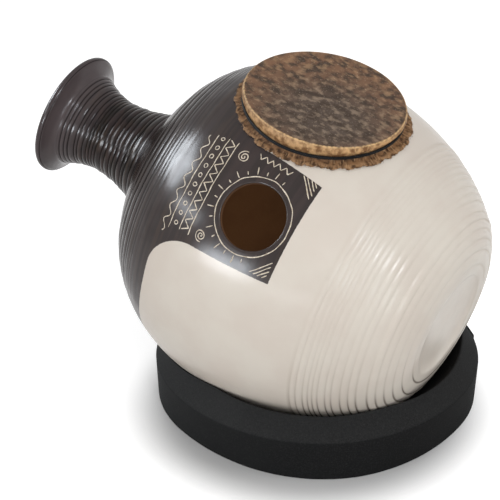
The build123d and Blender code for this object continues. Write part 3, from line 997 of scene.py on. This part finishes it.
clayLook = {
    # the pale body's two groove colours are painted shade
    "cream": colour(220, 212, 201), "creamWarm": colour(216, 206, 195), "creamGrooveShade": colour(172, 160, 146),
    "grooveDeepShade": colour(74, 62, 52), "slip": colour(31, 25, 23), "slipBrown": colour(58, 43, 32),
    # the slip's groove colour is painted shade
    "slipPlum": colour(50, 40, 42), "slipGroove": colour(12, 9, 8), "slipRubbed": colour(78, 70, 69),
    # the lip's colour is partly its own plum tone and partly a painted sheen
    "slipWorn": colour(104, 92, 84), "lipPlum": colour(92, 83, 84),
    "inside": (colour(84, 56, 34), colour(74, 48, 29)),
    # the inside's glow colours are painted light
    "insideGlow": (colour(55, 36, 21), colour(51, 33, 19)),
    "scratch": (colour(226, 214, 196), colour(188, 172, 150)),
    # where a change begins and ends, along the pot or round it, and its strength there
    "driftTurn": (1.5, 2.1), "behindTurn": (-0.58, -0.95), "edgeBlur": (-0.22, 0.22),
    # painted shade in the pale body's grooves: how it grows round to the underside and towards the foot
    "underShade": (1.2, 2.2, 0.06, 0.6), "underDeepShade": (1.85, 2.25), "footShade": (-70.0, -95.0),
    # the first span on the next line is where a painted sheen lightens the slip on the shoulder
    "shoulderSheenSpan": (128.0, 104.0, 0.0, 0.42), "lip": (190.0, 228.0, 0.0, 0.75), "rim": (230.0, 235.0, 0.0, 0.55),
    # the last share on the next line is for the painted highlight on the hole's rounded edge
    "plumShare": 0.6, "grooveShadeShare": 0.85, "rimHighlightShare": 0.15,
    # scale and detail of patches, and the levels of noise where they begin and are full
    "ragged": (0.5, 2.0), "patches": (0.022, 4.0), "streaks": (1.6, 5.0, 0.4, 0.68),
    "plum": (0.8, 3.0, 0.42, 0.6), "rub": (0.06, 3.0, 0.3, 0.7),
    "streakWay": (0.16, 1.3, 1.3), "wheelWay": (1.1, 0.9, 0.9),
}


def slipAndClay():
    material, tree, shader = newMaterial("slipAndClay", Specular_IOR_Level=0.0, Coat_Roughness=0.215,
                                         Coat_IOR=1.28)
    place = useGroup(tree, potPlace)
    along, turn, spot = place["Along"], place["Turn"], place["Place"]
    arc = times(tree, turn, panel["across"])
    lowSide = calc(tree, "ABSOLUTE", turn)

    # where the slip ends: the shoulder line, the panel's three edges and its rounded corner
    shoulderEnd = panel["mouthEdge"] + panel["mouthDrift"]
    drift = ramp(tree, lowSide, *clayLook["driftTurn"], panel["mouthEdge"], shoulderEnd)
    toMouth = calc(tree, "SUBTRACT", drift, along)
    fromBase = calc(tree, "SUBTRACT", along, panel["baseEdge"])
    below = calc(tree, "SUBTRACT", arc, panel["lowEdge"] * panel["across"])
    below = calc(tree, "MULTIPLY_ADD", fromBase, -panel["lowDrift"], below)
    above = calc(tree, "SUBTRACT", panel["highEdge"] * panel["across"], arc)
    above = calc(tree, "MULTIPLY_ADD", fromBase, -panel["highDrift"], above)
    cutX, cutY = (calc(tree, "MAXIMUM", calc(tree, "SUBTRACT", panel["corner"], inward), 0.0)
                  for inward in (toMouth, below))
    roundOff = calc(tree, "SQRT", calc(tree, "MULTIPLY_ADD", cutX, cutX, times(tree, cutY, cutY)))
    lowField = calc(tree, "SUBTRACT", panel["corner"], roundOff)
    behind = ramp(tree, turn, *clayLook["behindTurn"], panel["underHead"], shoulderEnd)
    highField = calc(tree, "MINIMUM", calc(tree, "SUBTRACT", behind, along), above)
    baseField = calc(tree, "SUBTRACT", panel["baseEdge"], along)
    field = calc(tree, "MAXIMUM", calc(tree, "MAXIMUM", lowField, highField), baseField)
    ragged = calc(tree, "MULTIPLY_ADD", noise(tree, spot, *clayLook["ragged"]), 0.6, -0.3)
    cream = ramp(tree, calc(tree, "ADD", field, ragged), *clayLook["edgeBlur"])

    # pale body, with painted shade in its grooves, deepest on the underside and towards the foot
    groove, rimHighlight = stored(tree, "groove"), stored(tree, "rimHighlight")
    patches = patchy(tree, spot, *clayLook["patches"])
    body = mixColour(tree, patches, clayLook["cream"], clayLook["creamWarm"])
    shade = times(tree, groove, ramp(tree, lowSide, *clayLook["underShade"]))
    body = mixColour(tree, shade, body, clayLook["creamGrooveShade"])
    # darker painted shade in the grooves of the underside, near the foot
    deepShade = times(tree, groove, ramp(tree, lowSide, *clayLook["underDeepShade"]))
    deepShade = times(tree, deepShade, ramp(tree, along, *clayLook["footShade"]))
    body = mixColour(tree, deepShade, body, clayLook["grooveDeepShade"])

    # dark slip, streaked round the pot, with a painted sheen on the shoulder, a plum lip that is partly
    # painted sheen, painted shade in its grooves and a painted highlight on the hole's rounded edge
    stretched = vectorCalc(tree, "MULTIPLY", place["Streak"], clayLook["streakWay"])
    streaks, plum = (patchy(tree, stretched, *clayLook[name]) for name in ("streaks", "plum"))
    slip = mixColour(tree, streaks, clayLook["slip"], clayLook["slipBrown"])
    for factor, tone in ((times(tree, plum, clayLook["plumShare"]), "slipPlum"),
                         # a painted sheen on the shoulder
                         (ramp(tree, along, *clayLook["shoulderSheenSpan"]), "slipRubbed"),
                         # the lip: its own plum tone, lightened by a painted sheen
                         (ramp(tree, along, *clayLook["lip"]), "lipPlum"),
                         (ramp(tree, along, *clayLook["rim"]), "slipPlum"),
                         # painted shade in the slip's grooves
                         (times(tree, groove, clayLook["grooveShadeShare"]), "slipGroove"),
                         # a painted highlight on the hole's rounded edge
                         (times(tree, rimHighlight, clayLook["rimHighlightShare"]), "slipWorn")):
        slip = mixColour(tree, factor, slip, clayLook[tone])

    rub = patchy(tree, spot, *clayLook["rub"])
    slipRough = calc(tree, "MULTIPLY_ADD", rub, 0.1, 0.42)
    creamRough = calc(tree, "MULTIPLY_ADD", patches, 0.08, 0.5)
    rough = addNode(tree, "Mix", {0: cream, 2: slipRough, 3: creamRough}).outputs[0]
    polish = times(tree, ramp(tree, rub, 0.0, 1.0, 1.0, 0.8), ramp(tree, cream, 0.0, 1.0, 1.0, 0.75))
    polish = times(tree, polish, ramp(tree, groove, 0.0, 1.0, 1.0, 0.12))

    # fine wheel lines round the pot, and the grain of the clay
    lines = noise(tree, vectorCalc(tree, "MULTIPLY", place["Streak"], clayLook["wheelWay"]), 1.0, 2.0)
    height = calc(tree, "MULTIPLY_ADD", grainy(tree, spot, 0.9), 0.45, lines)
    height = calc(tree, "MULTIPLY_ADD", cream, -0.6, height)
    feed(tree, shader, Base_Color=mixColour(tree, cream, slip, body), Roughness=rough, Coat_Weight=polish,
         Normal=relief(tree, height, 0.22, 0.0002))
    return material


def insideClay():
    # bare brown clay that the hole and the mouth show, with a painted glow of its own that stands in for the
    # light inside the pot
    material, tree, shader = newMaterial("insideClay", Specular_IOR_Level=0.2, Emission_Strength=0.9)
    spot = useGroup(tree, potPlace)["Place"]
    patches = patchy(tree, spot, 0.03, 4.0)
    grain = grainy(tree, spot, 0.6)
    feed(tree, shader, Base_Color=mixColour(tree, patches, *clayLook["inside"]),
         Emission_Color=mixColour(tree, patches, *clayLook["insideGlow"]),
         Roughness=ramp(tree, grain, 0.4, 1.0, 0.8, 0.95), Normal=relief(tree, grain, 0.3, 0.0004))
    return material


def scratchedClay():
    # pale clay laid bare by the scratches
    material, tree, shader = newMaterial("scratchedClay", Specular_IOR_Level=0.3)
    patches = patchy(tree, useGroup(tree, potPlace)["Place"], 0.5, 3.0)
    feed(tree, shader, Base_Color=mixColour(tree, patches, *clayLook["scratch"]),
         Roughness=ramp(tree, patches, 0.0, 1.0, 0.6, 0.8))
    return material


# hide: dark mottled skin, a painted highlight along its rounded edge, golden side band and brown crinkled
# frill

hideLook = {
    "dark": colour(68, 54, 44), "brown": colour(130, 96, 72), "grey": colour(88, 74, 64),
    "fleckGrey": colour(166, 146, 126), "fleckWarm": colour(178, 144, 110), "hairTip": colour(205, 190, 170),
    # the edge colour serves the band's pale strands and the painted highlight along the skin's edge
    "gold": colour(201, 161, 115), "goldDark": colour(121, 85, 54), "edge": colour(222, 186, 136),
    "frill": colour(128, 93, 63), "frillDark": colour(58, 39, 25), "frillLight": colour(182, 146, 108),
    # the middle of the greyed patch, how far it fades, and the way the hair lies
    "played": (0.0, 24.0, -15.0), "fade": (18.0, 84.0), "hairTurn": math.radians(-96.0),
    "hairStretch": (0.6, 0.66, 1.0),
    # scale and detail of patches, and the levels of noise where they begin and are full
    "blotch": (0.12, 3.0, 0.36, 0.62), "fleck": (0.185, 3.0, 0.47, 0.68), "fine": (0.95, 2.0, 0.63, 0.72),
    "bandSpots": (0.19, 5.0, 0.33, 0.66), "uneven": (0.35, 3.0), "tufts": (0.26, 4.5, 0.36, 0.7),
    "strands": (2.2, 2.0, 0.52, 0.7), "strandWay": (0.16, 22.0, 22.0),
    # where each zone begins and is full along the hide, and the painted highlight line at the skin's edge
    "bandFrom": (65.4, 67.6), "frillFrom": (73.4, 75.0), "tipFrom": (78.0, 83.5),
    "highlightAt": 66.9, "highlightHalf": (1.1, 0.2),
}


def drumHide():
    material, tree, shader = newMaterial("drumHide", Specular_IOR_Level=0.12)
    place = useGroup(tree, headPlace)
    spot = place["Place"]
    along = stored(tree, "along")

    # flecks lie along the hair of the hide, and are greyer where it is played
    turned = addNode(tree, "VectorRotate", {"Vector": spot, "Axis": (1, 0, 0), "Angle": hideLook["hairTurn"]},
                     rotation_type="AXIS_ANGLE").outputs[0]
    flat = vectorCalc(tree, "MULTIPLY", turned, hideLook["hairStretch"])
    blotch, fleck, fine = (patchy(tree, flat, *hideLook[name]) for name in ("blotch", "fleck", "fine"))
    fromPlay = vectorCalc(tree, "DISTANCE", spot, hideLook["played"], "Value")
    rim = ramp(tree, fromPlay, *hideLook["fade"])
    top = mixColour(tree, blotch, hideLook["dark"], mixColour(tree, rim, hideLook["grey"], hideLook["brown"]))
    fleckTone = mixColour(tree, rim, hideLook["fleckGrey"], hideLook["fleckWarm"])
    top = mixColour(tree, times(tree, fleck, 0.55), top, fleckTone)
    top = mixColour(tree, times(tree, fine, 0.45), top, hideLook["hairTip"])

    # golden band with brown blotches, and the frill with its dark tufts and pale tips
    bandSpots, tufts = (patchy(tree, spot, *hideLook[name]) for name in ("bandSpots", "tufts"))
    strandWay = vectorCalc(tree, "MULTIPLY", place["Streak"], hideLook["strandWay"])
    strands = patchy(tree, strandWay, *hideLook["strands"])
    band = mixColour(tree, bandSpots, hideLook["gold"], hideLook["goldDark"])
    band = mixColour(tree, times(tree, strands, 0.3), band, hideLook["edge"])
    frill = mixColour(tree, tufts, hideLook["frill"], hideLook["frillDark"])
    frill = mixColour(tree, times(tree, strands, 0.6), frill, hideLook["frillLight"])
    tip = times(tree, ramp(tree, along, *hideLook["tipFrom"]), ramp(tree, tufts, 0.0, 0.8, 0.55, 0.05))
    frill = mixColour(tree, tip, frill, hideLook["frillLight"])

    # the zones run into each other unevenly
    uneven = noise(tree, spot, *hideLook["uneven"])
    zone = calc(tree, "ADD", along, calc(tree, "MULTIPLY_ADD", uneven, 5.0, -2.5))
    toFrill = ramp(tree, along, *hideLook["frillFrom"])
    # a painted highlight along the skin's rounded edge
    fromEdge = calc(tree, "ABSOLUTE", calc(tree, "SUBTRACT", along, hideLook["highlightAt"]))
    edgeHighlight = ramp(tree, fromEdge, *hideLook["highlightHalf"])
    edgeHighlight = times(tree, edgeHighlight, ramp(tree, uneven, 0.36, 0.62, 0.25, 0.85))
    whole = mixColour(tree, ramp(tree, zone, *hideLook["bandFrom"]), top, band)
    whole = mixColour(tree, edgeHighlight, whole, hideLook["edge"])
    whole = mixColour(tree, toFrill, whole, frill)

    rough = calc(tree, "MULTIPLY_ADD", toFrill, 0.2, ramp(tree, fleck, 0.0, 1.0, 0.5, 0.66))
    height = calc(tree, "SUBTRACT", grainy(tree, flat, 1.4), times(tree, tufts, toFrill))
    height = calc(tree, "MULTIPLY_ADD", blotch, 0.5, height)
    feed(tree, shader, Base_Color=whole, Roughness=rough, Normal=relief(tree, height, 0.3, 0.0006))
    return material


def hideHair():
    material, tree, shader = newMaterial("hideHair", Specular_IOR_Level=0.3)
    tone = patchy(tree, useGroup(tree, headPlace)["Place"], 0.7, 2.0)
    feed(tree, shader, Base_Color=mixColour(tree, tone, hideLook["frill"], hideLook["frillDark"]),
         Roughness=ramp(tree, tone, 0.0, 1.0, 0.55, 0.75))
    return material


def blackCord():
    material, tree, shader = newMaterial("blackCord", Specular_IOR_Level=0.14)
    fuzz = grainy(tree, useGroup(tree, headPlace)["Place"], 3.0)
    body = mixColour(tree, ramp(tree, fuzz, 0.5, 0.95), colour(11, 10, 10), colour(24, 22, 22))
    feed(tree, shader, Base_Color=body, Roughness=ramp(tree, fuzz, 0.4, 1.0, 0.32, 0.5),
         Normal=relief(tree, fuzz, 0.2, 0.0002))
    return material


# black foam, with its greys on the wall, on the sliced bevel, whose paleness is partly cut foam and partly
# painted light from above, in specks, in the seat as painted shade, and in its pores

foamLook = {"wall": (9, 13), "slicedAndLit": (27, 33), "speck": 52, "seat": 13, "pore": 14,
            "bloom": (16.0, 5.0), "grain": 700.0, "pores": 800.0}


def grey(level):
    return colour(level, level, level)


def blackFoam():
    # closed-cell foam: smooth dark wall, paler grainy bevel where it was cut, its paleness partly painted
    # light from above, and a seat painted dark as shade
    material, tree, shader = newMaterial("blackFoam", Specular_IOR_Level=0.12)
    points = addNode(tree, "TexCoord").outputs["Object"]
    cutAndShade = stored(tree, "cutAndShade")
    bloom = patchy(tree, points, *foamLook["bloom"])
    grain = grainy(tree, points, foamLook["grain"])
    pores = addNode(tree, "TexVoronoi", {"Vector": points, "Scale": foamLook["pores"]})
    pits = ramp(tree, pores.outputs["Distance"], 0.08, 0.34)
    wall, slicedAndLit = (mixColour(tree, bloom, *map(grey, foamLook[name])) for name in ("wall", "slicedAndLit"))
    body = mixColour(tree, cutAndShade, wall, slicedAndLit)
    speck = times(tree, ramp(tree, grain, 0.6, 1.05, 0.0, 0.6), ramp(tree, cutAndShade, 0.0, 1.0, 0.55, 1.0))
    body = mixColour(tree, speck, body, grey(foamLook["speck"]))
    # the seat under the pot is painted dark, a painted shade
    body = mixColour(tree, ramp(tree, cutAndShade, -0.1, -0.9), body, grey(foamLook["seat"]))
    body = mixColour(tree, pits, grey(foamLook["pore"]), body)
    feed(tree, shader, Base_Color=body, Roughness=ramp(tree, grain, 0.4, 1.0, 0.85, 0.98),
         Normal=relief(tree, calc(tree, "MULTIPLY_ADD", pits, 0.6, grain), 0.4, 0.0004))
    return material


for piece, material in ((vessel, slipAndClay()), (vessel, insideClay()), (scratches, scratchedClay()),
                        (skin, drumHide()), (frillHair, hideHair()), (bindingCord, blackCord()),
                        (foamRing, blackFoam())):
    piece.data.materials.append(material)
print("materials made")


# what each piece rides on and stands for

for piece, body, node, slot in ((vessel, "drum", "clay_vessel", "fired_clay"),
                                (scratches, "drum", None, "fired_clay"),
                                (skin, "drum", "drum_skin", "hide"), (frillHair, "drum", None, "hide"),
                                (bindingCord, "drum", "binding_cord", "black_cord"),
                                (foamRing, "stand", "foam_ring", "black_foam")):
    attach(piece, body)
    if node:
        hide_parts(node)


# floor, backdrop and soft studio light

studio = {
    "white": (1.0, 1.0, 1.0, 1.0), "paper": (0.6, 0.6, 0.6, 1.0), "floorHalf": 6.0, "ambient": 0.5,
    # where the floor's painted glow begins round the drum, and how bright it gets further off
    "middle": (0.070, -0.0240, 0.0), "farGlow": 0.74, "glowFrom": 0.112, "glowTo": 0.172,
    "sheenTint": (0.88, 0.94, 1.0), "aim": (0.0, 0.0, 0.15),
    "lamps": [
        # name, whether it gives soft light or sheen, direction to the lamp, distance, width, height, power
        ("rightKey", "soft", (0.56, -0.66, 0.50), 1.8, 0.60, 0.60, 9.6),
        ("backFill", "soft", (0.85, 0.25, 0.46), 1.8, 0.60, 0.60, 5.2),
        ("frontFill", "soft", (-0.35, -0.90, 0.12), 1.6, 0.50, 0.50, 5.0),
        ("topBox", "soft", (-0.10, 0.20, 0.97), 1.7, 0.90, 0.90, 1.3),
        ("shoulderSheen", "sheen", (-0.856, -0.182, 0.485), 1.5, 0.64, 0.48, 29.0),
        ("neckSheen", "sheen", (-0.640, -0.672, 0.372), 1.6, 0.62, 0.16, 9.0),
        ("panelSheen", "sheen", (-0.215, -0.972, 0.100), 1.6, 0.66, 0.28, 25.0),
        ("lipSheen", "sheen", (0.31, -0.949, -0.02), 1.6, 0.70, 0.10, 2.4),
        ("ridgeSheen", "sheen", (0.838, -0.523, 0.11), 1.6, 0.35, 0.44, 4.6),
        ("creamSheen", "sheen", (0.80, -0.36, 0.47), 1.6, 0.30, 0.34, 13.0),
    ],
}


def seenDirectly(tree):
    # 1 for rays from the camera, from a gloss and through glass, 0 for the light that falls on things
    path = addNode(tree, "LightPath").outputs
    seen = calc(tree, "MAXIMUM", path["Is Camera Ray"], path["Is Glossy Ray"])
    return calc(tree, "MAXIMUM", seen, path["Is Transmission Ray"])


half = studio["floorHalf"]
floorMesh = bpy.data.meshes.new("floor")
floorCorners = [(-half, -half, 0), (half, -half, 0), (half, half, 0), (-half, half, 0)]
floorMesh.from_pydata(floorCorners, [], [(0, 1, 2, 3)])
floor = bpy.data.objects.new("floor", floorMesh)
bpy.context.scene.collection.objects.link(floor)
floorMaterial, floorTree, floorShader = newMaterial("paperFloor", Base_Color=studio["paper"], Roughness=0.9,
                                                    Specular_IOR_Level=0.0, Emission_Color=studio["white"])
# the paper gives off no light round the drum, so that its shadow shows, and further off a painted glow, seen
# by the camera and in gloss, whitens it and fades the shadow out
floorPoints = addNode(floorTree, "TexCoord").outputs["Object"]
fromDrum = vectorCalc(floorTree, "DISTANCE", floorPoints, studio["middle"], "Value")
glow = ramp(floorTree, fromDrum, studio["glowFrom"], studio["glowTo"], 0.0, studio["farGlow"])
feed(floorTree, floorShader, Emission_Strength=times(floorTree, seenDirectly(floorTree), glow))
floorMesh.materials.append(floorMaterial)

world = bpy.data.worlds.new("studio")
bpy.context.scene.world = world
world.use_nodes = True
worldTree = world.node_tree
backdrop = worldTree.nodes["Background"]
backdrop.inputs["Color"].default_value = studio["white"]
strength = addNode(worldTree, "Mix", {0: seenDirectly(worldTree), 2: studio["ambient"], 3: 1.0}).outputs[0]
feed(worldTree, backdrop, Strength=strength)

for name, sort, way, distance, width, height, power in studio["lamps"]:
    lamp = bpy.data.lights.new(name, "AREA")
    lamp.shape = "RECTANGLE"
    lamp.size, lamp.size_y = width, height
    lamp.energy = power
    if sort == "sheen":
        lamp.color = studio["sheenTint"]
    holder = bpy.data.objects.new(name, lamp)
    holder.visible_glossy = sort == "sheen"
    holder.visible_diffuse = sort == "soft"
    toLamp = Vector(way).normalized()
    holder.location = Vector(studio["aim"]) + toLamp * distance
    holder.rotation_euler = toLamp.to_track_quat("Z", "Y").to_euler()
    bpy.context.scene.collection.objects.link(holder)

bpy.context.scene.view_settings.view_transform = "Standard"
print("studio lit")
